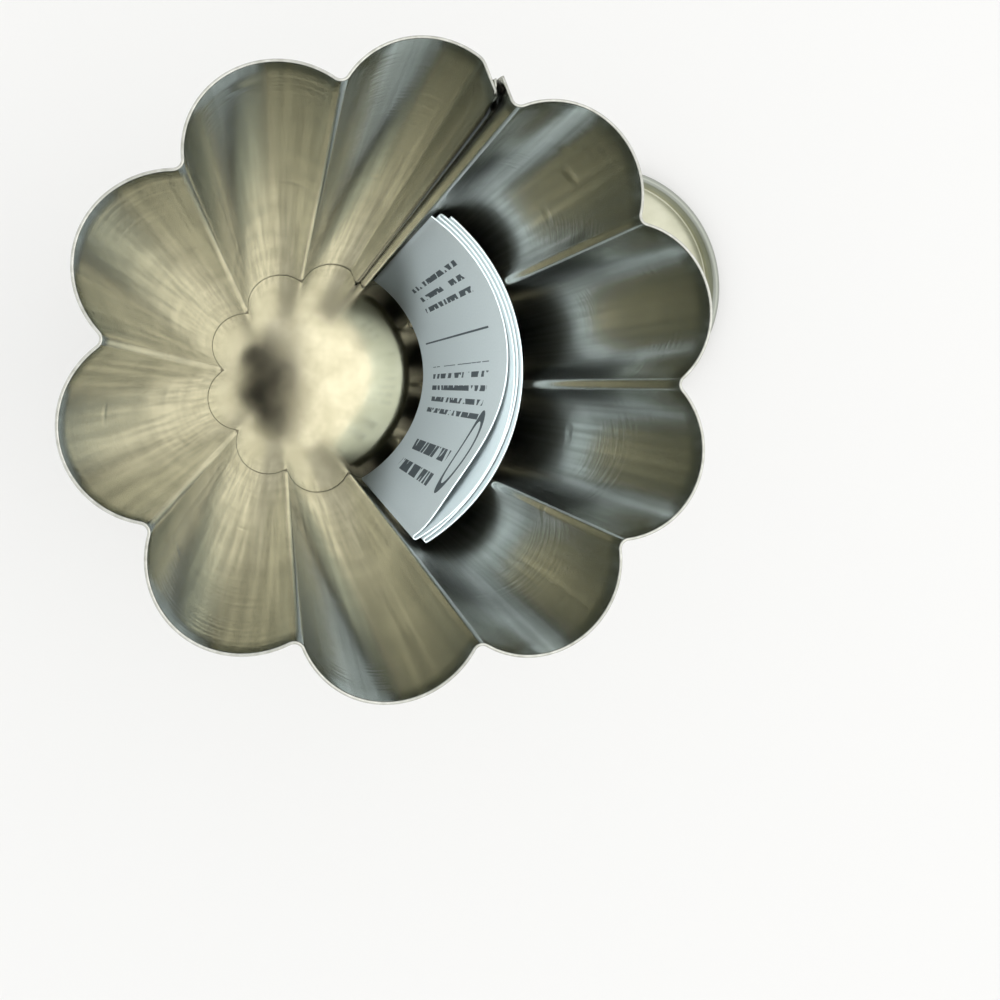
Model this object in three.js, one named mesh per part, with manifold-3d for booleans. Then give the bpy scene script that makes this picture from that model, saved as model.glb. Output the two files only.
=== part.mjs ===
// Scalloped bread mould: a fluted tinplate tube closed by a lock seam, two round caps with rolled rims,
// one on the tube and one lying beside it, and a folded paper leaflet inside.
// Millimetres, +Z up along the tube. The origin is the middle of the underside of the cap that closes the
// tube, and +X points at the cap that lies beside it.
import * as THREE from 'three';
import { mergeVertices } from 'three/addons/utils/BufferGeometryUtils.js';
import Module from 'manifold-3d';

// Tube
const FLUTE_COUNT = 10;
const FLUTE_TIP_RADIUS = 37.2; // from the tube's axis to the inside of a flute
const FLUTE_DEPTH = 4.8; // from the tip of a flute in to the crest of a ridge
const RIDGE_ROUNDING = 1.3; // inside radius of the rounded ridge between two flutes
const TUBE_LENGTH = 203;
const TUBE_SHEET = 0.4;

// Lock seam along the tube, on the flute next to one ridge
const SEAM_RIDGE_DIRECTION = THREE.MathUtils.degToRad(49.5); // of that ridge, from +X
const SEAM_STRIP = 0.5; // bare strip between the ridge's rounding and the nose of the inner hook
const SEAM_BEND = 2; // radius where the flat seam runs out into the flute
const HOOK_FLAT = 2; // straight length of each hook
const HOOK_PLAY = 0.1; // gap between the layers of the closed seam
const HOOK_CLIP_LENGTH = 6.5; // corners clipped off the hooks at each end of the tube, along the tube
const HOOK_CLIP_WIDTH = 1; // and across the hook

// Caps
const CAP_SHEET = 0.4;
const CAP_HEIGHT = 6;
const CAP_CORNER = 0.5; // inside radius between the floor and the wall
const BEAD_DIAMETER = 2.8; // of the rolled rim, outside
const BEAD_TURN = THREE.MathUtils.degToRad(270); // how far the rim is rolled, outwards
const CAP_SPACING = 21.5; // clear distance between the rims of the two caps
const CAP_SIDES = 60;

// Leaflet
const PANEL_COUNT = 4;
const PANEL_WIDTH = 72;
const PANEL_HEIGHT = 110;
const PANEL_SPACING = 0.75; // from one panel to the next
const PAPER = 0.25;
const LEAFLET_LIFT = 24.6; // lower edge above the floor of the cap
const LEAFLET_TURN = -2; // ridges from the seam's to the one behind the leaflet's middle
const LEAFLET_STANDOFF = 1; // how much further its middle stands from that ridge than from those it bears on
const EDGE_ROOM = 4; // least distance from the leaflet's side edges to the ridge past them

// Clearances
const CAP_FIT = 0.3; // all round, between the tube and the wall of a cap
const SEAT_GAP = 0.3; // between the tube's end and the floor of its cap
const LEAFLET_GAP = 0.3; // between the leaflet and the ridges that it bears on
const CUT_PAST = 0.2; // share of a clipped corner by which its cutter runs past the sheet
const FACET_SAG = 0.025; // how far a flat facet may fall short of the true curve

const direction = (angle) => new THREE.Vector2(Math.cos(angle), Math.sin(angle));
const polar = (radius, angle) => direction(angle).multiplyScalar(radius);

// The middle line of a bent sheet seen on edge, laid down as straight runs and bends. A bend with a
// positive turn goes to the left.
class SheetPath {
  constructor(start, heading) {
    this.position = start.clone();
    this.heading = heading;
    this.stations = [];
    this.mark();
  }

  mark() {
    const left = direction(this.heading + Math.PI / 2);
    this.stations.push({ point: this.position.clone(), left });
  }

  run(length) {
    this.position.addScaledVector(direction(this.heading), length);
    this.mark();
    return this;
  }

  bend(radius, turn) {
    const side = Math.sign(turn) * radius;
    const centre = this.position.clone().addScaledVector(direction(this.heading + Math.PI / 2), side);
    const facetTurn = 2 * Math.acos(1 - FACET_SAG / radius);
    const facets = Math.max(2, Math.ceil(Math.abs(turn) / facetTurn));
    for (let facet = 0; facet < facets; facet += 1) {
      this.heading += turn / facets;
      this.position = centre.clone().addScaledVector(direction(this.heading + Math.PI / 2), -side);
      this.mark();
    }
    return this;
  }

  // The closed outline of the sheet: out along its right face and back along its left one.
  outline(thickness) {
    const moved = (offset) => ({ point, left }) => point.clone().addScaledVector(left, offset);
    const face = (offset) => this.stations.map(moved(offset));
    return [...face(-thickness / 2), ...face(thickness / 2).reverse()];
  }
}

const extrudeUp = (outline, height) =>
  new THREE.ExtrudeGeometry(new THREE.Shape(outline), { depth: height, bevelEnabled: false });

// A closed mesh as a solid that can be cut, and back again.
const wasm = await Module();
wasm.setup();

const toSolid = (geometry) => {
  const bare = geometry.clone();
  bare.deleteAttribute('normal');
  bare.deleteAttribute('uv');
  const { attributes, index } = mergeVertices(bare);
  const vertProperties = attributes.position.array;
  const triVerts = new Uint32Array(index.array);
  return new wasm.Manifold(new wasm.Mesh({ numProp: 3, vertProperties, triVerts }));
};

const toGeometry = (solid) => {
  const { vertProperties, triVerts } = solid.getMesh();
  const geometry = new THREE.BufferGeometry();
  geometry.setAttribute('position', new THREE.BufferAttribute(vertProperties, 3));
  geometry.setIndex(new THREE.BufferAttribute(triVerts, 1));
  geometry.computeVertexNormals();
  return geometry;
};

const named = (name, geometry, material) => {
  const mesh = new THREE.Mesh(geometry, material);
  mesh.name = name;
  return mesh;
};

const tinplate = () => new THREE.MeshStandardMaterial({ color: 0x8f8d7c, roughness: 0.38, metalness: 1 });
const whitePaper = () => new THREE.MeshStandardMaterial({ color: 0xd9dedd, roughness: 0.8, metalness: 0 });

// Fluted section: each flute is an arc that touches the tip circle and the roundings of its two ridges.
const flutePitch = (2 * Math.PI) / FLUTE_COUNT;
const crestRadius = FLUTE_TIP_RADIUS - FLUTE_DEPTH;
const ridgeCentre = polar(crestRadius + RIDGE_ROUNDING, flutePitch / 2);
const tipToRidge = FLUTE_TIP_RADIUS - ridgeCentre.x;
const fluteRadius =
  (tipToRidge ** 2 + ridgeCentre.y ** 2 - RIDGE_ROUNDING ** 2) / (2 * (tipToRidge + RIDGE_ROUNDING));
const fluteCentre = FLUTE_TIP_RADIUS - fluteRadius;
const flankTurn = Math.atan2(ridgeCentre.y, ridgeCentre.x - fluteCentre);
const ridgeTurn = 2 * flankTurn - flutePitch;
const fluteMiddle = fluteRadius + TUBE_SHEET / 2;
const ridgeMiddle = RIDGE_ROUNDING - TUBE_SHEET / 2;

// Lock seam: both hooks lie on the straight line that leaves the seam's ridge, four layers deep, with each
// hook's end inside the other. Distances along it count from where the ridge's rounding ends.
const seamFlute = SEAM_RIDGE_DIRECTION + flutePitch / 2;
const seamStart = polar(fluteCentre, seamFlute).add(polar(fluteMiddle, seamFlute - flankTurn));
const seamHeading = seamFlute - flankTurn + Math.PI / 2;
const layer = TUBE_SHEET + HOOK_PLAY;
const noseReach = layer + TUBE_SHEET / 2;
const innerNose = SEAM_STRIP + noseReach;
const outerNose = innerNose + HOOK_FLAT;
const inset = 3 * layer; // the innermost layer, which bends out into the flute's arc

// The sheet starts in the inner hook, goes once round the tube and ends in the outer hook.
const tubeSection = () => {
  const bendCentre = fluteMiddle - inset - SEAM_BEND;
  const flatEnd = Math.sqrt((fluteMiddle - SEAM_BEND) ** 2 - bendCentre ** 2);
  const flatTurn = Math.atan2(flatEnd, bendCentre);

  const hookEnd = polar(outerNose, seamHeading).add(polar(layer, seamHeading + Math.PI / 2));
  const sheet = new SheetPath(hookEnd.add(seamStart), seamHeading + Math.PI);
  sheet.run(HOOK_FLAT).bend(layer, -Math.PI).run(flatEnd - innerNose);
  sheet.bend(SEAM_BEND, flatTurn).bend(fluteMiddle, 2 * flankTurn - flatTurn);
  for (let flute = 1; flute < FLUTE_COUNT; flute += 1) {
    sheet.bend(ridgeMiddle, -ridgeTurn).bend(fluteMiddle, 2 * flankTurn);
  }
  sheet.bend(ridgeMiddle, -ridgeTurn).run(outerNose).bend(layer, Math.PI).run(HOOK_FLAT);
  return sheet.outline(TUBE_SHEET);
};

const tubeOutline = tubeSection();
const tubeReach = Math.max(...tubeOutline.map((point) => point.length()));

// A slanting cutter for one clipped corner, in the seam's own frame: X along the seam, Y up the tube, Z out.
// It starts at the tip of a hook and goes the given way along the seam, from the deep layer to the near one.
const hookClip = (tip, way, deep, near, end, up) => {
  const onSlant = (share) => new THREE.Vector2(
    tip + way * HOOK_CLIP_WIDTH * share,
    end - up * HOOK_CLIP_LENGTH * (1 - share),
  );
  const inside = onSlant(-CUT_PAST);
  const outside = onSlant(1 + CUT_PAST);
  const triangle = new THREE.Shape([inside, outside, new THREE.Vector2(inside.x, outside.y)]);
  const cutter = new THREE.ExtrudeGeometry(triangle, { depth: deep - near, bevelEnabled: false });
  const along = direction(seamHeading);
  const out = direction(seamHeading - Math.PI / 2);
  const frame = new THREE.Matrix4().makeBasis(
    new THREE.Vector3(along.x, along.y, 0),
    new THREE.Vector3(0, 0, 1),
    new THREE.Vector3(out.x, out.y, 0),
  );
  const place = seamStart.clone().addScaledVector(out, -deep);
  return cutter.applyMatrix4(frame.setPosition(place.x, place.y, 0));
};

const tubeGeometry = () => {
  let solid = toSolid(extrudeUp(tubeOutline, TUBE_LENGTH));
  for (const [end, up] of [[TUBE_LENGTH, 1], [0, -1]]) {
    const inner = hookClip(SEAM_STRIP, 1, inset + TUBE_SHEET, layer / 2, end, up);
    const outer = hookClip(outerNose + noseReach, -1, inset - layer / 2, -TUBE_SHEET, end, up);
    solid = solid.subtract(toSolid(inner)).subtract(toSolid(outer));
  }
  return toGeometry(solid);
};

// Half section of a cap: floor, corner, wall and rolled rim, from the axis outwards.
const wallMiddle = tubeReach + CAP_FIT + CAP_SHEET / 2;
const beadMiddle = (BEAD_DIAMETER - CAP_SHEET) / 2;
const capReach = wallMiddle + beadMiddle + BEAD_DIAMETER / 2;

const capGeometry = () => {
  const cornerMiddle = CAP_CORNER + CAP_SHEET / 2;
  const wallHeight = CAP_HEIGHT - BEAD_DIAMETER / 2 - cornerMiddle - CAP_SHEET / 2;
  const sheet = new SheetPath(new THREE.Vector2(0, CAP_SHEET / 2), 0);
  sheet.run(wallMiddle - cornerMiddle).bend(cornerMiddle, Math.PI / 2);
  sheet.run(wallHeight).bend(beadMiddle, -BEAD_TURN);
  return new THREE.LatheGeometry(sheet.outline(CAP_SHEET), CAP_SIDES).rotateX(Math.PI / 2);
};

// The leaflet is a concertina whose panels share one centre. It springs towards flat, so it is less curved
// than the ring of ridges: it bears on the outermost two ridges that it spans, and its middle stands clear.
const leafletSection = () => {
  const middle = SEAM_RIDGE_DIRECTION + LEAFLET_TURN * flutePitch;
  const bearing = crestRadius - LEAFLET_GAP - PAPER / 2;
  const ridgesSpanned = Math.floor((PANEL_WIDTH / 2 + EDGE_ROOM) / bearing / flutePitch);
  const bearingDepth = bearing * Math.cos(Math.max(1, ridgesSpanned) * flutePitch);
  const middleRadius = bearing - LEAFLET_STANDOFF;
  const offset = (bearing ** 2 - middleRadius ** 2) / (2 * (middleRadius - bearingDepth));
  const outerRadius = middleRadius + offset;

  const centre = polar(-offset, middle);
  const startAngle = middle + PANEL_WIDTH / outerRadius / 2;
  const paper = new SheetPath(centre.add(polar(outerRadius, startAngle)), startAngle - Math.PI / 2);
  for (let panel = 0; panel < PANEL_COUNT; panel += 1) {
    const radius = outerRadius - panel * PANEL_SPACING;
    const way = panel % 2 === 0 ? -1 : 1;
    paper.bend(radius, (way * PANEL_WIDTH) / radius);
    if (panel < PANEL_COUNT - 1) {
      paper.bend(PANEL_SPACING / 2, way * Math.PI);
    }
  }
  return paper.outline(PAPER);
};

const tube = named('tube', tubeGeometry(), tinplate());
tube.position.z = CAP_SHEET + SEAT_GAP;

const baseCap = named('base_cap', capGeometry(), tinplate());

const looseCap = named('loose_cap', capGeometry(), tinplate());
looseCap.position.x = 2 * capReach + CAP_SPACING;

const leaflet = named('leaflet', extrudeUp(leafletSection(), PANEL_HEIGHT), whitePaper());
leaflet.position.z = CAP_SHEET + LEAFLET_LIFT;

const breadMould = new THREE.Group();
breadMould.add(tube, baseCap, looseCap, leaflet);

export default breadMould;
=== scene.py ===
import bpy
import numpy as np
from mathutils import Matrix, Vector


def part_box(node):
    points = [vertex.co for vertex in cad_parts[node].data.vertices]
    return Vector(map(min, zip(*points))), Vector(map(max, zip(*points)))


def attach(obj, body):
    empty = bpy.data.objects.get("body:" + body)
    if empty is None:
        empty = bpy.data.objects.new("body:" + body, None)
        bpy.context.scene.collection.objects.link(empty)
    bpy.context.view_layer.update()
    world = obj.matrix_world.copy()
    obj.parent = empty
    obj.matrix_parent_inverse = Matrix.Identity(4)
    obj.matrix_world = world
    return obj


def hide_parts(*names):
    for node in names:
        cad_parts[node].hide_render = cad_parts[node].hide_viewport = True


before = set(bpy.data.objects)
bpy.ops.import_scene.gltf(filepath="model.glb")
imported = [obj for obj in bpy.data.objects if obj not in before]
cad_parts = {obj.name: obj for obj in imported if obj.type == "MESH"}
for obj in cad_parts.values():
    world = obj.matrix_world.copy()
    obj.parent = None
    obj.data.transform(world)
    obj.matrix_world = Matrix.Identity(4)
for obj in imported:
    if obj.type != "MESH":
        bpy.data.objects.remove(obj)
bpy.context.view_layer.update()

# Tube
# One tinplate sheet, rolled to ten round flutes with narrow ridges between them. Its two long edges are
# folded to hooks that lie in each other four layers deep, and the hooks' corners are clipped at both ends.
MM = 0.001
FLUTE_COUNT = 10
FLUTE_TIP_RADIUS = 37.2 * MM
FLUTE_DEPTH = 4.8 * MM
RIDGE_ROUNDING = 1.3 * MM
TUBE_SHEET = 0.4 * MM
SEAM_RIDGE_DIRECTION = np.radians(49.5)
SEAM_STRIP = 0.5 * MM
SEAM_BEND = 2 * MM
HOOK_FLAT = 2 * MM
HOOK_PLAY = 0.1 * MM
HOOK_CLIP_LENGTH = 6.5 * MM
HOOK_CLIP_WIDTH = 1 * MM
CURVE_SAG = 0.003 * MM
EDGE_STEPS = 4
PLAIN_ROWS = 20
PLAIN_MARGIN = 4 * MM
DENT_DEPTH = 0.04 * MM
DENT_WAVES = np.array([(83, 47), (131, -29)]) * MM


def polar(radius, angle):
    """Plan point at that distance and direction from the tube's axis."""
    return radius * np.array([np.cos(angle), np.sin(angle)])


def bent_sheet(start, heading, moves):
    """Middle line of a bent sheet seen on edge: points, unit normals to the left, lengths from the start.

    Each move is (length, turn), a straight run or an arc that turns left where turn is positive. The
    heading grows evenly along an arc. Each step is a chord in the middle heading, of the length of its arc
    times sin(turn / 2) / (turn / 2).
    """
    length, turn = np.array(moves, float).T
    steps = np.maximum(1, np.ceil(np.sqrt(np.abs(turn) * length / (8 * CURVE_SAG)))).astype(int)
    step_length = np.repeat(length / steps, steps)
    step_turn = np.repeat(turn / steps, steps)
    headings = heading + np.concatenate([[0], np.cumsum(step_turn)])
    chord = step_length * np.sinc(step_turn / (2 * np.pi))
    chord_heading = headings[:-1] + step_turn / 2
    chords = chord[:, None] * np.stack([np.cos(chord_heading), np.sin(chord_heading)], axis=1)
    points = start + np.concatenate([np.zeros((1, 2)), np.cumsum(chords, axis=0)])
    left = np.stack([-np.sin(headings), np.cos(headings)], axis=1)
    return points, left, np.concatenate([[0], np.cumsum(step_length)])


def standing_sheet(points, left, heights, thickness):
    """Closed body of a sheet that stands on edge, from rows x stations arrays of its middle surface.

    The right face is the middle less half the thickness along the left normal, and the left face the middle
    plus it. The rows run up the right face and down the left one, and quads close the sheet's free edges.
    """
    offset = left * thickness[..., None] / 2
    right_face = np.dstack([points - offset, heights])
    left_face = np.dstack([points + offset, heights])
    vertices = np.concatenate([right_face, left_face[::-1]])
    index = np.arange(vertices.shape[0] * vertices.shape[1]).reshape(vertices.shape[:2])
    above = np.roll(index, -1, axis=0)
    sides = np.stack([index[:, :-1], index[:, 1:], above[:, 1:], above[:, :-1]], axis=-1)
    up, down = index[:len(points)], index[len(points):][::-1]
    first = np.stack([up[:-1, 0], up[1:, 0], down[1:, 0], down[:-1, 0]], axis=-1)
    last = np.stack([up[:-1, -1], down[:-1, -1], down[1:, -1], up[1:, -1]], axis=-1)
    return vertices.reshape(-1, 3), np.concatenate([sides.reshape(-1, 4), first, last]).tolist()


def add_piece(name, vertices, faces, body, node, slot):
    """Puts a surface into the scene as a smooth piece that stands for a CAD node and rides on its body."""
    mesh = bpy.data.meshes.new(name)
    mesh.from_pydata(vertices, [], faces)
    mesh.shade_smooth()
    piece = bpy.data.objects.new(name, mesh)
    bpy.context.scene.collection.objects.link(piece)
    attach(piece, body)
    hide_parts(node)
    return piece


def add_sheet_map(piece, along, heights):
    """UV map of both faces of a standing sheet, in metres on its flat blank: u along the sheet, v up it."""
    rows = np.concatenate([heights, heights[::-1]])
    flat = np.stack([np.broadcast_to(along, rows.shape), rows], axis=-1).reshape(-1, 2)
    corners = np.empty(len(piece.data.loops), dtype=np.int32)
    piece.data.loops.foreach_get("vertex_index", corners)
    piece.data.uv_layers.new(name="blank").data.foreach_set("uv", flat[corners].ravel())


def linear(hex_colour):
    """sRGB hex to linear RGBA.

    A channel over 0.04045 becomes (channel + 0.055) / 1.055 to the power 2.4, and a lower one a 12.92nd.
    """
    srgb = np.array([int(hex_colour[place:place + 2], 16) for place in (1, 3, 5)]) / 255
    rgb = np.where(srgb <= 0.04045, srgb / 12.92, ((srgb + 0.055) / 1.055) ** 2.4)
    return (*rgb.tolist(), 1.0)


def add_node(tree, kind, inputs, **settings):
    """Adds one node: settings are its options, inputs its sockets' values or the outputs that feed them."""
    node = tree.nodes.new(kind)
    for option, value in settings.items():
        setattr(node, option, value)
    for socket, value in inputs.items():
        if isinstance(value, bpy.types.NodeSocket):
            tree.links.new(value, node.inputs[socket])
        else:
            node.inputs[socket].default_value = value
    return node


# Each flute is an arc that touches the tip circle and the roundings of its two ridges.
flute_pitch = 2 * np.pi / FLUTE_COUNT
ridge_centre = polar(FLUTE_TIP_RADIUS - FLUTE_DEPTH + RIDGE_ROUNDING, flute_pitch / 2)
tip_to_ridge = FLUTE_TIP_RADIUS - ridge_centre[0]
flute_radius = (tip_to_ridge ** 2 + ridge_centre[1] ** 2 - RIDGE_ROUNDING ** 2) / (
    2 * (tip_to_ridge + RIDGE_ROUNDING)
)
flute_centre = FLUTE_TIP_RADIUS - flute_radius
flank_turn = np.arctan2(ridge_centre[1], ridge_centre[0] - flute_centre)
ridge_turn = 2 * flank_turn - flute_pitch
flute_middle = flute_radius + TUBE_SHEET / 2
ridge_middle = RIDGE_ROUNDING - TUBE_SHEET / 2

# The hooks lie on the straight line that leaves the seam's ridge.
seam_flute = SEAM_RIDGE_DIRECTION + flute_pitch / 2
seam_start = polar(flute_centre, seam_flute) + polar(flute_middle, seam_flute - flank_turn)
seam_heading = seam_flute - flank_turn + np.pi / 2
seam_along = polar(1, seam_heading)
seam_inward = polar(1, seam_heading + np.pi / 2)
layer = TUBE_SHEET + HOOK_PLAY
inset = 3 * layer
inner_tip = SEAM_STRIP
inner_nose = inner_tip + layer + TUBE_SHEET / 2
outer_nose = inner_nose + HOOK_FLAT
outer_tip = outer_nose + layer + TUBE_SHEET / 2
bend_centre = flute_middle - inset - SEAM_BEND
flat_end = np.sqrt((flute_middle - SEAM_BEND) ** 2 - bend_centre ** 2)
flat_turn = np.arctan2(flat_end, bend_centre)

# The sheet starts in the inner hook, goes once round the tube and ends in the outer hook.
slant = inner_tip + HOOK_CLIP_WIDTH - inner_nose
flute = (2 * flank_turn * flute_middle, 2 * flank_turn)
ridge = (ridge_turn * ridge_middle, -ridge_turn)
inner_hook = [
    (HOOK_FLAT - slant, 0),
    (slant, 0),
    (np.pi * layer, -np.pi),
    (slant, 0),
    (flat_end - inner_nose - slant, 0),
]
seam_flute_turn = 2 * flank_turn - flat_turn
run_out = [
    (SEAM_BEND * flat_turn, flat_turn),
    (flute_middle * seam_flute_turn, seam_flute_turn),
]
outer_hook = [
    (outer_nose - slant, 0),
    (slant, 0),
    (np.pi * layer, np.pi),
    (slant, 0),
    (HOOK_FLAT - slant, 0),
]
hook_end = seam_start + outer_nose * seam_along + layer * seam_inward
moves = inner_hook + run_out + [ridge, flute] * (FLUTE_COUNT - 1) + [ridge] + outer_hook
tube_line, tube_left, tube_along = bent_sheet(hook_end, seam_heading + np.pi, moves)

# Clipped corners: each end of a hook's edge rises in a slant from its tip to the tube's end.
from_seam = tube_line - seam_start
seam_reach, seam_depth = from_seam @ seam_along, from_seam @ seam_inward
inner_clip = np.where(seam_depth > layer / 2, 1 - (seam_reach - inner_tip) / HOOK_CLIP_WIDTH, 0)
outer_clip = np.where(seam_depth < inset - layer / 2, 1 - (outer_tip - seam_reach) / HOOK_CLIP_WIDTH, 0)
inner_end = sum(length for length, _ in inner_hook)
outer_start = tube_along[-1] - sum(length for length, _ in outer_hook)
in_hooks = (tube_along < inner_end) | (tube_along > outer_start)
clip = HOOK_CLIP_LENGTH * np.where(in_hooks, np.clip(np.maximum(inner_clip, outer_clip), 0, 1), 0)

# The cut edges are rounded over to half a circle, and two crossing waves dent the wall.
tube_foot, tube_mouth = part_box("tube")[0].z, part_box("tube")[1].z
tube_length = tube_mouth - tube_foot
edge_turn = np.linspace(0, np.pi / 2, EDGE_STEPS + 1)[1:]
edge_rows = TUBE_SHEET / 2 * (np.cos(edge_turn[0]) - np.cos(edge_turn))
plain_rows = np.linspace(PLAIN_MARGIN, tube_length - PLAIN_MARGIN, PLAIN_ROWS)
tube_rows = np.concatenate([edge_rows, plain_rows, tube_length - edge_rows[::-1]])
tube_heights = tube_foot + clip + tube_rows[:, None] / tube_length * (tube_length - 2 * clip)
first_wave, second_wave = (
    np.sin(2 * np.pi * (tube_heights / upwards + tube_along / onwards)) for upwards, onwards in DENT_WAVES
)
tube_surface = tube_line + (DENT_DEPTH * first_wave * second_wave)[..., None] * tube_left
tube_thickness = TUBE_SHEET * np.concatenate([
    np.sin(edge_turn), np.ones(PLAIN_ROWS), np.sin(edge_turn)[::-1]
])
tube = add_piece(
    "fluted_tube",
    *standing_sheet(
        tube_surface,
        np.broadcast_to(tube_left, tube_surface.shape),
        tube_heights,
        np.broadcast_to(tube_thickness[:, None], tube_heights.shape),
    ),
    body="tube",
    node="tube",
    slot="tube_tinplate",
)
add_sheet_map(tube, tube_along, tube_heights)

# Tinplate as rolled: a warm grey mirror that is slightly dull, with streaks along the tube and soft
# blotches where the tin has greyed. The rolls have left patches of lines across it, and use a few shallow
# dints. The inner hook's fold is painted near black, as painted shade for the dark groove of the seam. Real
# streaks and roll lines are finer: they are drawn coarser so that they show.
STREAK_WIDTH = 1.1 * MM
STREAK_LENGTH = 70 * MM
STREAK_RELIEF = 0.003 * MM
STREAK_SHARE = 0.55
BLOTCH = 12 * MM
TIN_TONES = ((0.36, "#b8b9b0"), (0.64, "#cfd0c9"))
TIN_DULLNESS = ((0.35, 0.265), (0.65, 0.19))
ROLL_LINE_LENGTH = 9 * MM
ROLL_LINE_HEIGHT = 1.3 * MM
ROLL_LINE_RELIEF = 0.03 * MM
ROLL_PATCH = 26 * MM
ROLL_PATCH_EDGE = (0.43, 0.6)
DINT_SPACING = 34 * MM
DINT_RADIUS = 2.4 * MM
DINT_RELIEF = 0.05 * MM
# Painted shade for the seam's dark groove, laid on the inner hook's fold, and the width of its fade.
SEAM_SHADE = "#1f1d19"
SEAM_SHADE_FADE = 0.3 * MM
rolled_tinplate = bpy.data.materials.new("rolled_tinplate")
rolled_tinplate.use_nodes = True
tree = rolled_tinplate.node_tree
tin = tree.nodes["Principled BSDF"]
blank = add_node(tree, "ShaderNodeUVMap", {}, uv_map="blank")
place = add_node(tree, "ShaderNodeTexCoord", {})
stretched = add_node(
    tree,
    "ShaderNodeVectorMath",
    {0: blank.outputs["UV"], 1: (1 / STREAK_WIDTH, 1 / STREAK_LENGTH, 0)},
    operation="MULTIPLY",
)
streaks = add_node(
    tree,
    "ShaderNodeTexNoise",
    {"Vector": stretched.outputs[0], "Scale": 1, "Detail": 1, "Roughness": 0.6},
    noise_dimensions="2D",
)
blotches = add_node(
    tree,
    "ShaderNodeTexNoise",
    {"Vector": place.outputs["Object"], "Scale": 1 / BLOTCH, "Detail": 4, "Roughness": 0.55},
)
both = add_node(
    tree,
    "ShaderNodeMix",
    {"Factor": STREAK_SHARE, "A": blotches.outputs["Fac"], "B": streaks.outputs["Fac"]},
)
tone = add_node(tree, "ShaderNodeValToRGB", {"Fac": both.outputs[0]})
for stop, (position, colour) in zip(tone.color_ramp.elements, TIN_TONES):
    stop.position = position
    stop.color = linear(colour)
dullness = add_node(
    tree,
    "ShaderNodeMapRange",
    {
        "Value": both.outputs[0],
        "From Min": TIN_DULLNESS[0][0],
        "From Max": TIN_DULLNESS[1][0],
        "To Min": TIN_DULLNESS[0][1],
        "To Max": TIN_DULLNESS[1][1],
    },
)

# The painted shade fills the inner hook, from the sheet's edge to the end of the hook's fold.
fold_end = HOOK_FLAT + np.pi * layer
on_blank = add_node(tree, "ShaderNodeSeparateXYZ", {"Vector": blank.outputs["UV"]})
past_fold = add_node(
    tree,
    "ShaderNodeMapRange",
    {"Value": on_blank.outputs["X"], "From Min": fold_end - SEAM_SHADE_FADE, "From Max": fold_end},
)
seam_shaded = add_node(
    tree,
    "ShaderNodeMix",
    {"Factor": past_fold.outputs["Result"], 6: linear(SEAM_SHADE), 7: tone.outputs["Color"]},
    data_type="RGBA",
)

# Roll lines run across the tube in patches of a coarse noise. Each dint is a dip round a cell's point.
across = add_node(
    tree,
    "ShaderNodeVectorMath",
    {0: blank.outputs["UV"], 1: (1 / ROLL_LINE_LENGTH, 1 / ROLL_LINE_HEIGHT, 0)},
    operation="MULTIPLY",
)
roll_lines = add_node(
    tree,
    "ShaderNodeTexNoise",
    {"Vector": across.outputs[0], "Scale": 1, "Detail": 1},
    noise_dimensions="2D",
)
patches = add_node(
    tree,
    "ShaderNodeTexNoise",
    {"Vector": blank.outputs["UV"], "Scale": 1 / ROLL_PATCH, "Detail": 1},
    noise_dimensions="2D",
)
in_patch = add_node(
    tree,
    "ShaderNodeMapRange",
    {"Value": patches.outputs["Fac"], "From Min": ROLL_PATCH_EDGE[0], "From Max": ROLL_PATCH_EDGE[1]},
)
rolled = add_node(
    tree,
    "ShaderNodeMath",
    {0: in_patch.outputs["Result"], 1: roll_lines.outputs["Fac"]},
    operation="MULTIPLY",
)
dints = add_node(
    tree,
    "ShaderNodeTexVoronoi",
    {"Vector": blank.outputs["UV"], "Scale": 1 / DINT_SPACING},
    voronoi_dimensions="2D",
)
dint = add_node(
    tree,
    "ShaderNodeMapRange",
    {"Value": dints.outputs["Distance"], "From Min": 0, "From Max": DINT_RADIUS / DINT_SPACING},
    interpolation_type="SMOOTHSTEP",
)
normal = None
for height, depth in (
    (streaks.outputs["Fac"], STREAK_RELIEF),
    (rolled.outputs[0], ROLL_LINE_RELIEF),
    (dint.outputs["Result"], DINT_RELIEF),
):
    relief = add_node(tree, "ShaderNodeBump", {"Height": height, "Strength": 1, "Distance": depth})
    if normal is not None:
        tree.links.new(normal, relief.inputs["Normal"])
    normal = relief.outputs["Normal"]
tin.inputs["Metallic"].default_value = 1
tree.links.new(seam_shaded.outputs[2], tin.inputs["Base Color"])
tree.links.new(dullness.outputs["Result"], tin.inputs["Roughness"])
tree.links.new(normal, tin.inputs["Normal"])
tube.data.materials.append(rolled_tinplate)

# Caps
# Two round caps, each drawn from one tinplate disc, with an upright wall and a rim that is rolled outwards.
# One is pushed on the tube's foot, the other is taken off and lies beside it with its open side up.
CAP_SHEET = 0.4 * MM
CAP_HEIGHT = 6 * MM
CAP_CORNER = 0.5 * MM
BEAD_DIAMETER = 2.8 * MM
BEAD_TURN = np.radians(270)
CAP_SIDES = 240
FLAT_EDGE = 0.4 * MM


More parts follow.
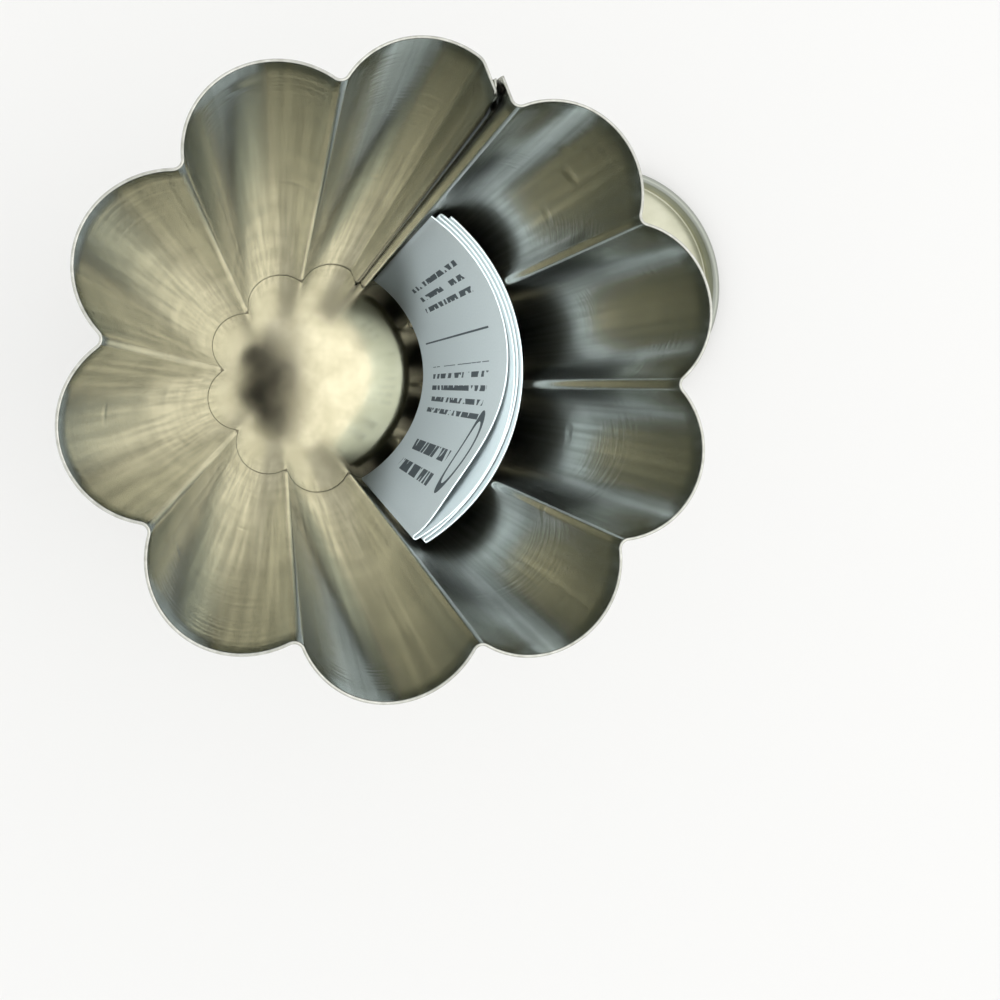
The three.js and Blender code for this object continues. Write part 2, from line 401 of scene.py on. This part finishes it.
def turned_sheet(points, left, thickness, sides, axis):
    """Closed body of a bent sheet turned about an upright axis, from its half section (distance, height).

    The outline goes out along the right face and back along the left one, from the axis to the axis, and
    each of its points goes round the circle (axis + distance * cos, axis + distance * sin, height).
    """
    outline = np.concatenate([points - left * thickness / 2, (points + left * thickness / 2)[::-1]])
    angles = np.linspace(0, 2 * np.pi, sides, endpoint=False)
    distance, height = outline[1:-1, :1], outline[1:-1, 1:]
    rings = np.dstack([
        axis[0] + distance * np.cos(angles),
        axis[1] + distance * np.sin(angles),
        np.broadcast_to(height, (len(height), sides)),
    ])
    poles = [[axis[0], axis[1], outline[0, 1]], [axis[0], axis[1], outline[-1, 1]]]
    index = np.arange(rings.shape[0] * sides).reshape(-1, sides)
    beside = np.roll(index, -1, axis=1)
    walls = np.stack([index[:-1], beside[:-1], beside[1:], index[1:]], axis=-1).reshape(-1, 4)
    under = np.stack([np.full(sides, index.size), beside[0], index[0]], axis=-1)
    over = np.stack([np.full(sides, index.size + 1), index[-1], beside[-1]], axis=-1)
    vertices = np.concatenate([rings.reshape(-1, 3), poles])
    return vertices, walls.tolist() + under.tolist() + over.tolist()


def flat_run(length):
    """A straight run with a short step at each end, which keeps it flat under smooth shading."""
    return [(FLAT_EDGE, 0), (length - 2 * FLAT_EDGE, 0), (FLAT_EDGE, 0)]


bead_middle = (BEAD_DIAMETER - CAP_SHEET) / 2
corner_middle = CAP_CORNER + CAP_SHEET / 2
cap_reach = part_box("base_cap")[1].x
wall_middle = cap_reach - bead_middle - BEAD_DIAMETER / 2
wall_height = CAP_HEIGHT - BEAD_DIAMETER / 2 - corner_middle - CAP_SHEET / 2
cap_moves = [
    (wall_middle / 2, 0),
    *flat_run(wall_middle / 2 - corner_middle),
    (corner_middle * np.pi / 2, np.pi / 2),
    *flat_run(wall_height),
    (bead_middle * BEAD_TURN, -BEAD_TURN),
]
cap_line, cap_left, _ = bent_sheet(np.array([0, CAP_SHEET / 2]), 0, cap_moves)
loose_low, loose_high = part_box("loose_cap")
loose_axis = ((loose_low.x + loose_high.x) / 2, (loose_low.y + loose_high.y) / 2)
base_cap = add_piece(
    "base_cap_drawn",
    *turned_sheet(cap_line, cap_left, CAP_SHEET, CAP_SIDES, (0, 0)),
    body="base_cap",
    node="base_cap",
    slot="cap_tinplate",
)
loose_cap = add_piece(
    "loose_cap_drawn",
    *turned_sheet(cap_line, cap_left, CAP_SHEET, CAP_SIDES, loose_axis),
    body="loose_cap",
    node="loose_cap",
    slot="cap_tinplate",
)

# Drawn tinplate: cream on the floor, with faint cloudy patches. Up the wall and over the rim the colour is
# painted greyer, as painted shade for the wall's darker reflection, and the rim's outer edge is painted
# dark as painted shade too. A thin line of painted shade lies on the floor where the tube's foot stands on
# it, and the cap that was taken off is the duller of the two.
CLOUD = 9 * MM
CLOUD_LEVELS = (0.35, 0.65)
FLOOR_TOP = 0.6 * MM
BEAD_FOOT = 3.2 * MM
# Wall and rim: painted shade, greyer than the floor.
WALL_SHADE = "#a3a79e"
# The foot line: a thin line of painted shade where the tube's foot stands.
FOOT_LINE = 0.52 * MM
FOOT_SHADE = "#8a8470"
# The rim's outer edge: painted shade, dark.
RIM_LINE = 0.6 * MM
RIM_FADE = 0.4 * MM
RIM_SHADE = "#6f706a"
foot_line_middle = flute_radius + TUBE_SHEET - FOOT_LINE / 2
for piece, axis, finish, tones, sharpest, dullest in (
    (base_cap, (0, 0), "drawn_tinplate", ("#c0ba9e", "#cdc7ac"), 0.08, 0.11),
    (loose_cap, loose_axis, "dulled_tinplate", ("#bdbda8", "#c8c8b4"), 0.29, 0.35),
):
    material = bpy.data.materials.new(finish)
    material.use_nodes = True
    tree = material.node_tree
    tin = tree.nodes["Principled BSDF"]
    place = add_node(tree, "ShaderNodeTexCoord", {})
    parts = add_node(tree, "ShaderNodeSeparateXYZ", {"Vector": place.outputs["Object"]})
    clouds = add_node(
        tree,
        "ShaderNodeTexNoise",
        {"Vector": place.outputs["Object"], "Scale": 1 / CLOUD, "Detail": 4, "Roughness": 0.5},
    )
    tone = add_node(tree, "ShaderNodeValToRGB", {"Fac": clouds.outputs["Fac"]})
    for stop, position, colour in zip(tone.color_ramp.elements, CLOUD_LEVELS, tones):
        stop.position = position
        stop.color = linear(colour)
    dullness = add_node(
        tree,
        "ShaderNodeMapRange",
        {
            "Value": clouds.outputs["Fac"],
            "From Min": CLOUD_LEVELS[0],
            "From Max": CLOUD_LEVELS[1],
            "To Min": dullest,
            "To Max": sharpest,
        },
    )
    # From just above the floor up the wall and over the rim, the colour is painted greyer as painted shade.
    wall_shade_share = add_node(
        tree,
        "ShaderNodeMapRange",
        {"Value": parts.outputs["Z"], "From Min": FLOOR_TOP, "From Max": BEAD_FOOT},
    )
    greyed = add_node(
        tree,
        "ShaderNodeMix",
        {"Factor": wall_shade_share.outputs["Result"], 6: tone.outputs["Color"], 7: linear(WALL_SHADE)},
        data_type="RGBA",
    )

    # The foot line, painted shade where the tube stands on the floor, follows the flute's circle, so the
    # direction from the tube's axis is folded into one half flute. It lies round that axis, so the cap that
    # was taken off has none.
    level = add_node(
        tree,
        "ShaderNodeVectorMath",
        {0: place.outputs["Object"], 1: (1, 1, 0)},
        operation="MULTIPLY",
    )
    reach = add_node(tree, "ShaderNodeVectorMath", {0: level.outputs[0]}, operation="LENGTH")
    direction = add_node(
        tree,
        "ShaderNodeMath",
        {0: parts.outputs["Y"], 1: parts.outputs["X"]},
        operation="ARCTAN2",
    )
    past_tip = add_node(
        tree,
        "ShaderNodeMath",
        {0: direction.outputs[0], 1: SEAM_RIDGE_DIRECTION - flute_pitch / 2},
        operation="SUBTRACT",
    )
    from_tip = add_node(
        tree,
        "ShaderNodeMath",
        {0: past_tip.outputs[0], 1: flute_pitch / 2},
        operation="PINGPONG",
    )
    outward = add_node(tree, "ShaderNodeCombineXYZ", {"X": reach.outputs["Value"]})
    in_flute = add_node(
        tree,
        "ShaderNodeVectorRotate",
        {"Vector": outward.outputs[0], "Angle": from_tip.outputs[0]},
        rotation_type="Z_AXIS",
    )
    outer_half = add_node(
        tree,
        "ShaderNodeVectorMath",
        {0: in_flute.outputs[0], 1: (flute_centre, 0, 0)},
        operation="MAXIMUM",
    )
    from_centre = add_node(
        tree,
        "ShaderNodeVectorMath",
        {0: outer_half.outputs[0], 1: (flute_centre, 0, 0)},
        operation="DISTANCE",
    )
    foot_line = add_node(
        tree,
        "ShaderNodeMath",
        {0: from_centre.outputs["Value"], 1: foot_line_middle, 2: FOOT_LINE / 2},
        operation="COMPARE",
    )
    lined = add_node(
        tree,
        "ShaderNodeMix",
        {"Factor": foot_line.outputs[0], 6: greyed.outputs[2], 7: linear(FOOT_SHADE)},
        data_type="RGBA",
    )
    # The rim's outer edge is painted dark, as painted shade.
    from_axis = add_node(
        tree,
        "ShaderNodeVectorMath",
        {0: level.outputs[0], 1: (*axis, 0)},
        operation="DISTANCE",
    )
    rim_start = cap_reach - RIM_LINE
    rim_line = add_node(
        tree,
        "ShaderNodeMapRange",
        {"Value": from_axis.outputs["Value"], "From Min": rim_start, "From Max": rim_start + RIM_FADE},
    )
    edged = add_node(
        tree,
        "ShaderNodeMix",
        {"Factor": rim_line.outputs["Result"], 6: lined.outputs[2], 7: linear(RIM_SHADE)},
        data_type="RGBA",
    )
    tin.inputs["Metallic"].default_value = 1
    tree.links.new(edged.outputs[2], tin.inputs["Base Color"])
    tree.links.new(dullness.outputs["Result"], tin.inputs["Roughness"])
    piece.data.materials.append(material)

# Leaflet
# One sheet of white paper, folded to a concertina of four panels. It is pushed into the tube, springs
# towards flat and so bears on two ridges, and its front panel bulges away from the others near its fold.
PANEL_COUNT = 4
PANEL_WIDTH = 72 * MM
PANEL_SPACING = 0.75 * MM
PAPER = 0.25 * MM
LEAFLET_DIRECTION = SEAM_RIDGE_DIRECTION - 2 * flute_pitch
LEAFLET_GAP = 0.3 * MM
LEAFLET_STANDOFF = 1 * MM
PANEL_BULGES = np.array([0, 0.5, 0.05, 2.8]) * MM
BULGE_LEAN = 0.46
BULGE_AT_FOOT = 0.1
PANEL_STEPS = 60
FOLD_STEPS = 10
PANEL_ROWS = 12
ROW_MARGIN = 0.05
EDGE_MARGIN = 0.002

# Its arc goes through the two ridges next to the middle one and keeps the standoff from that one.
bearing = FLUTE_TIP_RADIUS - FLUTE_DEPTH - LEAFLET_GAP - PAPER / 2
bearing_depth = bearing * np.cos(flute_pitch)
middle_depth = bearing - LEAFLET_STANDOFF
leaflet_offset = (bearing ** 2 - middle_depth ** 2) / (2 * (middle_depth - bearing_depth))
leaflet_radius = middle_depth + leaflet_offset


def folded_panels(shares, heights):
    """Plan points of the concertina's middle line, as rows x stations, from heights' shares of the panel's.

    Panel k is an arc of leaflet_radius - k * PANEL_SPACING less its bulge: the fourth power of the sine of
    pi * share ** BULGE_LEAN, which grows evenly from BULGE_AT_FOOT at the foot to 1 at the top. Each fold
    is a half circle from one panel's end to the next one's.
    """
    radii = leaflet_radius - PANEL_SPACING * np.arange(PANEL_COUNT)
    ways = np.array([-1, 1] * (PANEL_COUNT // 2))
    first = LEAFLET_DIRECTION + PANEL_WIDTH / leaflet_radius / 2
    ends = first + np.concatenate([[0], np.cumsum(ways * PANEL_WIDTH / radii)])
    growth = BULGE_AT_FOOT + (1 - BULGE_AT_FOOT) * heights[:, None]
    fold_turn = np.linspace(0, np.pi, FOLD_STEPS)[1:-1]
    fold_in = PANEL_SPACING / 2 * (1 - np.cos(fold_turn))
    fold_out = PANEL_SPACING / 2 * np.sin(fold_turn)
    radius_parts, angle_parts = [], []
    for panel in range(PANEL_COUNT):
        bulge = PANEL_BULGES[panel] * np.sin(np.pi * shares ** BULGE_LEAN) ** 4
        radius_parts.append(radii[panel] - bulge * growth)
        angle_parts.append(ends[panel] + (ends[panel + 1] - ends[panel]) * shares)
        if panel < PANEL_COUNT - 1:
            radius_parts.append(np.broadcast_to(radii[panel] - fold_in, (len(heights), len(fold_in))))
            angle_parts.append(ends[panel + 1] + ways[panel] * fold_out / radii[panel])
    radius = np.concatenate(radius_parts, axis=1)
    angle = np.concatenate(angle_parts)
    centre = polar(-leaflet_offset, LEAFLET_DIRECTION)
    return centre + np.stack([radius * np.cos(angle), radius * np.sin(angle)], axis=-1)


leaflet_low, leaflet_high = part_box("leaflet")
panel_height = leaflet_high.z - leaflet_low.z
height_shares = np.concatenate([
    [0, EDGE_MARGIN], np.linspace(ROW_MARGIN, 1 - ROW_MARGIN, PANEL_ROWS), [1 - EDGE_MARGIN, 1]
])
leaflet_surface = folded_panels(np.linspace(0, 1, PANEL_STEPS), height_shares)
steps = np.gradient(leaflet_surface, axis=1)
steps /= np.linalg.norm(steps, axis=-1, keepdims=True)
leaflet_left = np.stack([-steps[..., 1], steps[..., 0]], axis=-1)
foot_steps = np.linalg.norm(np.diff(leaflet_surface[0], axis=0), axis=1)
leaflet_along = np.concatenate([[0], np.cumsum(foot_steps)])
leaflet_heights = np.broadcast_to(
    (leaflet_low.z + panel_height * height_shares)[:, None], leaflet_surface.shape[:2]
)
leaflet = add_piece(
    "folded_leaflet",
    *standing_sheet(leaflet_surface, leaflet_left, leaflet_heights, np.full(leaflet_heights.shape, PAPER)),
    body="leaflet",
    node="leaflet",
    slot="paper",
)
add_sheet_map(leaflet, leaflet_along, leaflet_heights)

# Uncoated white paper: matt and slightly cool, with a faint cloud of fibres, which is drawn coarser than
# real so that it shows. The panel that faces inwards has plain grey print: rows of word bars in blocks, a
# rule and the outline of an oval. A block is given as its place along and up the panel from its fold and
# foot, its width and height, and the spacing and height of its rows.
FIBRE = 0.5 * MM
FIBRE_RELIEF = 0.02 * MM
PAPER_TONES = ("#dde3e4", "#eef2f2")
GREY_INK = "#5f6569"
WORD = 3.5 * MM
WORD_LEVEL = 0.4
TEXT_BLOCKS = np.array([
    (9, 28, 12, 58, 6.5, 3.2),
    (27, 20, 13, 74, 3.2, 1.3),
    (55, 34, 9, 62, 3.2, 1.3),
]) * MM
RULE_ALONG = 47 * MM
RULE_WIDTH = 0.45 * MM
RULE_LENGTH = 84 * MM
OVAL_PLACE = (19 * MM, 98 * MM)
OVAL_HALF = (9 * MM, 5 * MM)
OVAL_LINE = 0.14
uncoated_paper = bpy.data.materials.new("uncoated_paper")
uncoated_paper.use_nodes = True
tree = uncoated_paper.node_tree
paper = tree.nodes["Principled BSDF"]
blank = add_node(tree, "ShaderNodeUVMap", {}, uv_map="blank")
fibres = add_node(
    tree,
    "ShaderNodeTexNoise",
    {"Vector": blank.outputs["UV"], "Scale": 1 / FIBRE, "Detail": 3},
)
tone = add_node(tree, "ShaderNodeValToRGB", {"Fac": fibres.outputs["Fac"]})
for stop, colour in zip(tone.color_ramp.elements, PAPER_TONES):
    stop.color = linear(colour)
front_corner = (leaflet_along[-1] - PANEL_WIDTH, leaflet_low.z, 0)
on_panel = add_node(
    tree,
    "ShaderNodeVectorMath",
    {0: blank.outputs["UV"], 1: front_corner},
    operation="SUBTRACT",
)
spread = add_node(tree, "ShaderNodeSeparateXYZ", {"Vector": on_panel.outputs[0]})
along, up = spread.outputs["X"], spread.outputs["Y"]

# Upright boxes on the panel: the text blocks, and the rule as the last of them.
rule_box = (RULE_ALONG - RULE_WIDTH / 2, (panel_height - RULE_LENGTH) / 2, RULE_WIDTH, RULE_LENGTH)
boxes = []
for left_edge, foot, width, height in [*TEXT_BLOCKS[:, :4].tolist(), rule_box]:
    in_width = add_node(
        tree,
        "ShaderNodeMath",
        {0: along, 1: left_edge + width / 2, 2: width / 2},
        operation="COMPARE",
    )
    in_height = add_node(
        tree,
        "ShaderNodeMath",
        {0: up, 1: foot + height / 2, 2: height / 2},
        operation="COMPARE",
    )
    in_box = add_node(
        tree,
        "ShaderNodeMath",
        {0: in_width.outputs[0], 1: in_height.outputs[0]},
        operation="MULTIPLY",
    )
    boxes.append(in_box.outputs[0])

# The words of a block are the parts of its rows where a noise is over the word level.
inks = [boxes[-1]]
for in_block, (left_edge, _, _, _, row_spacing, row_height) in zip(boxes, TEXT_BLOCKS.tolist()):
    from_edge = add_node(
        tree,
        "ShaderNodeMath",
        {0: along, 1: left_edge + row_height / 2},
        operation="SUBTRACT",
    )
    from_row = add_node(
        tree,
        "ShaderNodeMath",
        {0: from_edge.outputs[0], 1: row_spacing / 2},
        operation="PINGPONG",
    )
    in_row = add_node(
        tree,
        "ShaderNodeMath",
        {0: from_row.outputs[0], 1: row_height / 2},
        operation="LESS_THAN",
    )
    word_shares = add_node(
        tree,
        "ShaderNodeVectorMath",
        {0: on_panel.outputs[0], 1: (1 / row_spacing, 1 / WORD, 0)},
        operation="MULTIPLY",
    )
    words = add_node(
        tree,
        "ShaderNodeTexNoise",
        {"Vector": word_shares.outputs[0], "Scale": 1, "Detail": 0},
        noise_dimensions="2D",
    )
    in_word = add_node(
        tree,
        "ShaderNodeMath",
        {0: words.outputs["Fac"], 1: WORD_LEVEL},
        operation="GREATER_THAN",
    )
    word_row = add_node(
        tree,
        "ShaderNodeMath",
        {0: in_row.outputs[0], 1: in_word.outputs[0]},
        operation="MULTIPLY",
    )
    text_ink = add_node(
        tree,
        "ShaderNodeMath",
        {0: in_block, 1: word_row.outputs[0]},
        operation="MULTIPLY",
    )
    inks.append(text_ink.outputs[0])
from_oval = add_node(
    tree,
    "ShaderNodeVectorMath",
    {0: on_panel.outputs[0], 1: (*OVAL_PLACE, 0)},
    operation="SUBTRACT",
)
oval_shares = add_node(
    tree,
    "ShaderNodeVectorMath",
    {0: from_oval.outputs[0], 1: (1 / OVAL_HALF[0], 1 / OVAL_HALF[1], 0)},
    operation="MULTIPLY",
)
oval_reach = add_node(tree, "ShaderNodeVectorMath", {0: oval_shares.outputs[0]}, operation="LENGTH")
printed = add_node(
    tree,
    "ShaderNodeMath",
    {0: oval_reach.outputs["Value"], 1: 1, 2: OVAL_LINE},
    operation="COMPARE",
).outputs[0]
for ink in inks:
    printed = add_node(tree, "ShaderNodeMath", {0: printed, 1: ink}, operation="MAXIMUM").outputs[0]
inked = add_node(
    tree,
    "ShaderNodeMix",
    {"Factor": printed, 6: tone.outputs["Color"], 7: linear(GREY_INK)},
    data_type="RGBA",
)
relief = add_node(
    tree,
    "ShaderNodeBump",
    {"Height": fibres.outputs["Fac"], "Strength": 0.2, "Distance": FIBRE_RELIEF},
)
paper.inputs["Roughness"].default_value = 0.75
paper.inputs["Specular IOR Level"].default_value = 0.35
tree.links.new(inked.outputs[2], paper.inputs["Base Color"])
tree.links.new(relief.outputs["Normal"], paper.inputs["Normal"])
leaflet.data.materials.append(uncoated_paper)

# Studio
# A matt white floor under an even sky with one small dark spot overhead, which the cap's floor mirrors. A
# soft box hangs to the right, and a spot lights the leaflet alone.
FLOOR_HALF = 4.0
FLOOR_DROP = 0.2 * MM
FLOOR_WHITE = "#eeeeed"
floor_mesh = bpy.data.meshes.new("floor")
floor_mesh.from_pydata(
    [(x * FLOOR_HALF, y * FLOOR_HALF, -FLOOR_DROP) for x, y in ((-1, -1), (1, -1), (1, 1), (-1, 1))],
    [],
    [(0, 1, 2, 3)],
)
floor = bpy.data.objects.new("floor", floor_mesh)
bpy.context.scene.collection.objects.link(floor)
matt_white = bpy.data.materials.new("matt_white")
matt_white.use_nodes = True
matt_white.node_tree.nodes["Principled BSDF"].inputs["Base Color"].default_value = linear(FLOOR_WHITE)
matt_white.node_tree.nodes["Principled BSDF"].inputs["Roughness"].default_value = 0.9
floor_mesh.materials.append(matt_white)

VIEW_RIGHT = np.radians(-18.5)
SKY_LEVEL = 1.08
SHADE_LEAN = np.radians(2.9)
SHADE_SIDE = np.radians(195)
SHADE_RADIUS = np.radians(4.4)
SHADE_BLUR = np.radians(0.6)
studio = bpy.data.worlds.new("studio")
bpy.context.scene.world = studio
studio.use_nodes = True
tree = studio.node_tree
sky = tree.nodes["Background"]
look = add_node(tree, "ShaderNodeTexCoord", {})
shade_axis = (*polar(np.sin(SHADE_LEAN), VIEW_RIGHT + SHADE_SIDE), np.cos(SHADE_LEAN))
shade = add_node(
    tree,
    "ShaderNodeVectorMath",
    {0: look.outputs["Generated"], 1: shade_axis},
    operation="DOT_PRODUCT",
)
strength = add_node(
    tree,
    "ShaderNodeMapRange",
    {
        "Value": shade.outputs["Value"],
        "From Min": np.cos(SHADE_RADIUS + SHADE_BLUR),
        "From Max": np.cos(SHADE_RADIUS - SHADE_BLUR),
        "To Min": SKY_LEVEL,
        "To Max": 0,
    },
    interpolation_type="SMOOTHSTEP",
)
sky.inputs["Color"].default_value = linear("#ffffff")
tree.links.new(strength.outputs["Result"], sky.inputs["Strength"])

SOFT_BOX_PLACE = (*polar(0.615, VIEW_RIGHT - np.radians(5)), 1.568)
SOFT_BOX_TARGET = (0, 0, 0.2)
SOFT_BOX_SIZE = (0.75, 1.29)
SOFT_BOX_POWER = 2.2
SPOT_PLACE = (*polar(0.19, LEAFLET_DIRECTION + np.pi - 0.12), 0.75)
SPOT_TARGET = (*polar(0.03, LEAFLET_DIRECTION), 0.085)
SPOT_CONE = np.radians(10)
SPOT_BLEND = 0.4
SPOT_RADIUS = 0.03
SPOT_POWER = 32


def add_lamp(name, kind, position, target, colour, energy):
    """Adds a lamp at a place that shines at a target, both in the object's frame."""
    lamp = bpy.data.objects.new(name, bpy.data.lights.new(name, kind))
    bpy.context.scene.collection.objects.link(lamp)
    lamp.location = position
    lamp.rotation_euler = (Vector(target) - Vector(position)).to_track_quat("-Z", "Y").to_euler()
    lamp.data.color = linear(colour)[:3]
    lamp.data.energy = energy
    return lamp


soft_box = add_lamp("soft_box", "AREA", SOFT_BOX_PLACE, SOFT_BOX_TARGET, "#fffdf4", SOFT_BOX_POWER)
soft_box.data.shape = "RECTANGLE"
soft_box.data.size, soft_box.data.size_y = SOFT_BOX_SIZE

leaflet_lamp = add_lamp("leaflet_lamp", "SPOT", SPOT_PLACE, SPOT_TARGET, "#ecf7fa", SPOT_POWER)
leaflet_lamp.data.spot_size = SPOT_CONE
leaflet_lamp.data.spot_blend = SPOT_BLEND
leaflet_lamp.data.shadow_soft_size = SPOT_RADIUS
leaflet_lamp.light_linking.receiver_collection = bpy.data.collections.new("lit_leaflet")
leaflet_lamp.light_linking.receiver_collection.objects.link(leaflet)

# The camera stands over the mouth, a little to the left, and is tilted to the right. The mould stands high
# in the frame, so the lens is shifted.
CAMERA_PLACE = (-0.01443, 0.0023, 0.30658)
CAMERA_TURN = np.radians((2.469, -13.432, -18.492))
CAMERA_LENS = 33.22
CAMERA_SENSOR = 36
CAMERA_SHIFT = -0.155
camera = bpy.data.objects.new("camera", bpy.data.cameras.new("camera"))
bpy.context.scene.collection.objects.link(camera)
camera.location = CAMERA_PLACE
camera.rotation_euler = CAMERA_TURN
camera.data.lens = CAMERA_LENS
camera.data.sensor_width = CAMERA_SENSOR
camera.data.shift_y = CAMERA_SHIFT
camera.data.clip_start = 10 * MM
bpy.context.scene.camera = camera
bpy.context.scene.view_settings.view_transform = "Standard"

# Light goes down the tube from wall to wall, so it needs more bounces than in the open.
bpy.context.scene.cycles.max_bounces = 24
bpy.context.scene.cycles.glossy_bounces = 20
